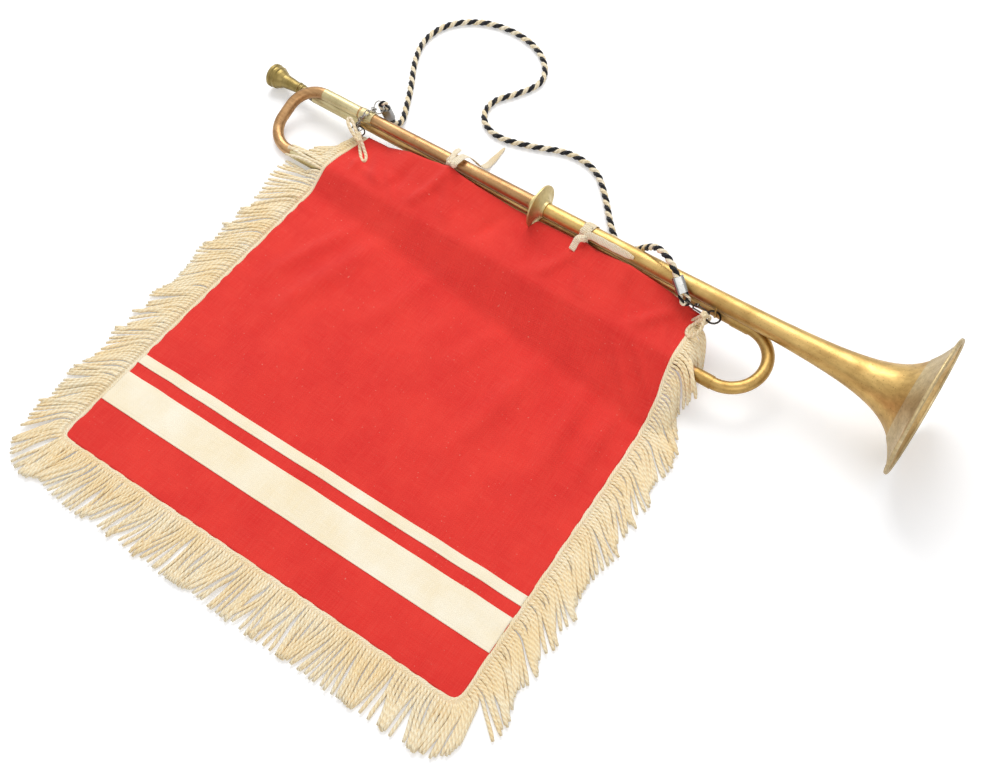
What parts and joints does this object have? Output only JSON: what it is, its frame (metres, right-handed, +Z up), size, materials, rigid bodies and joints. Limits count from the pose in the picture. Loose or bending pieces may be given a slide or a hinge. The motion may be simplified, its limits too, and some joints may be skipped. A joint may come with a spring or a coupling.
{
  "type": "herald trumpet",
  "caption": "Long straight trumpet with a folded tube loop, a fringed banner hung along it, a snap hook and a twisted carrying cord.",
  "frame": {"origin": "on the surface under the middle of the part's box, measured without the carrying cord", "axes": "+X along the trumpet towards the bell, +Y away from the banner, +Z up"},
  "size_m": [0.7294, 0.686, 0.1272],
  "materials": {
    "gold_brass": "worn lacquered brass",
    "red_brass": "copper-toned brass",
    "pale_brass": "dull pale brass",
    "dark_metal": "dark tarnished metal",
    "steel": "bright nickel-plated steel",
    "red_cloth": "red cotton bunting",
    "cream_cotton": "cream cotton",
    "cord": "twisted cord in cream and black"
  },
  "bodies": {
    "horn": {"mouthpiece_receiver": "dark_metal", "mouthpipe_sleeve": "pale_brass", "mouthpipe": "gold_brass", "upper_far_ferrule": "gold_brass", "far_bow": "gold_brass", "lower_far_ferrule": "gold_brass", "lower_tube": "gold_brass", "lower_tube_sleeve": "pale_brass", "near_bow": "red_brass", "bell_tube_sleeve": "pale_brass", "bell_tube_collar": "pale_brass", "bell_tube": "red_brass", "boss_near_saucer": "pale_brass", "boss_far_saucer": "pale_brass", "bell": "gold_brass", "bell_garland": "pale_brass", "bell_rim_wire": "dark_metal", "banner_eye": "gold_brass", "tube_chain": "dark_metal", "cord_ring_left": "dark_metal", "banner_ring_left": "dark_metal", "snap_hook_body": "steel", "snap_hook_pin": "steel", "cord_ferrule_left": "steel", "cord_ferrule_right": "steel", "cord_loop_left": "cord", "cord_loop_right": "cord", "carry_cord": "cord", "banner_cloth": "red_cloth", "banner_band_wide": "cream_cotton", "banner_band_narrow": "cream_cotton", "fringe_left": "cream_cotton", "fringe_bottom": "cream_cotton", "fringe_right": "cream_cotton", "tie_left": "cream_cotton", "tie_right": "cream_cotton", "corner_loops_left": "cream_cotton", "corner_loop_right": "cream_cotton"},
    "mouthpiece": {"mouthpiece": "pale_brass"},
    "gate": {"snap_hook_gate": "steel"},
    "hanging_ring": {"hanging_ring_right": "dark_metal"}
  },
  "joints": [
    {"name": "mouthpiece_pull", "type": "slide", "parent": "horn", "child": "mouthpiece", "axis": [-0.9989, 0.0024, -0.047], "range_m": [0, 0.015]},
    {"name": "gate_hinge", "type": "hinge", "parent": "horn", "child": "gate", "pos_m": [0.15378, 0.18744, 0.05034], "axis": [-0.1903, 0.9817, 0], "range_deg": [0, 25], "stiffness_Nm_per_rad": 0.002},
    {"name": "ring_swing", "type": "hinge", "parent": "horn", "child": "hanging_ring", "pos_m": [0.16938, 0.19578, 0.04352], "axis": [1, 0, 0], "range_deg": [-8, 8]}
  ]
}
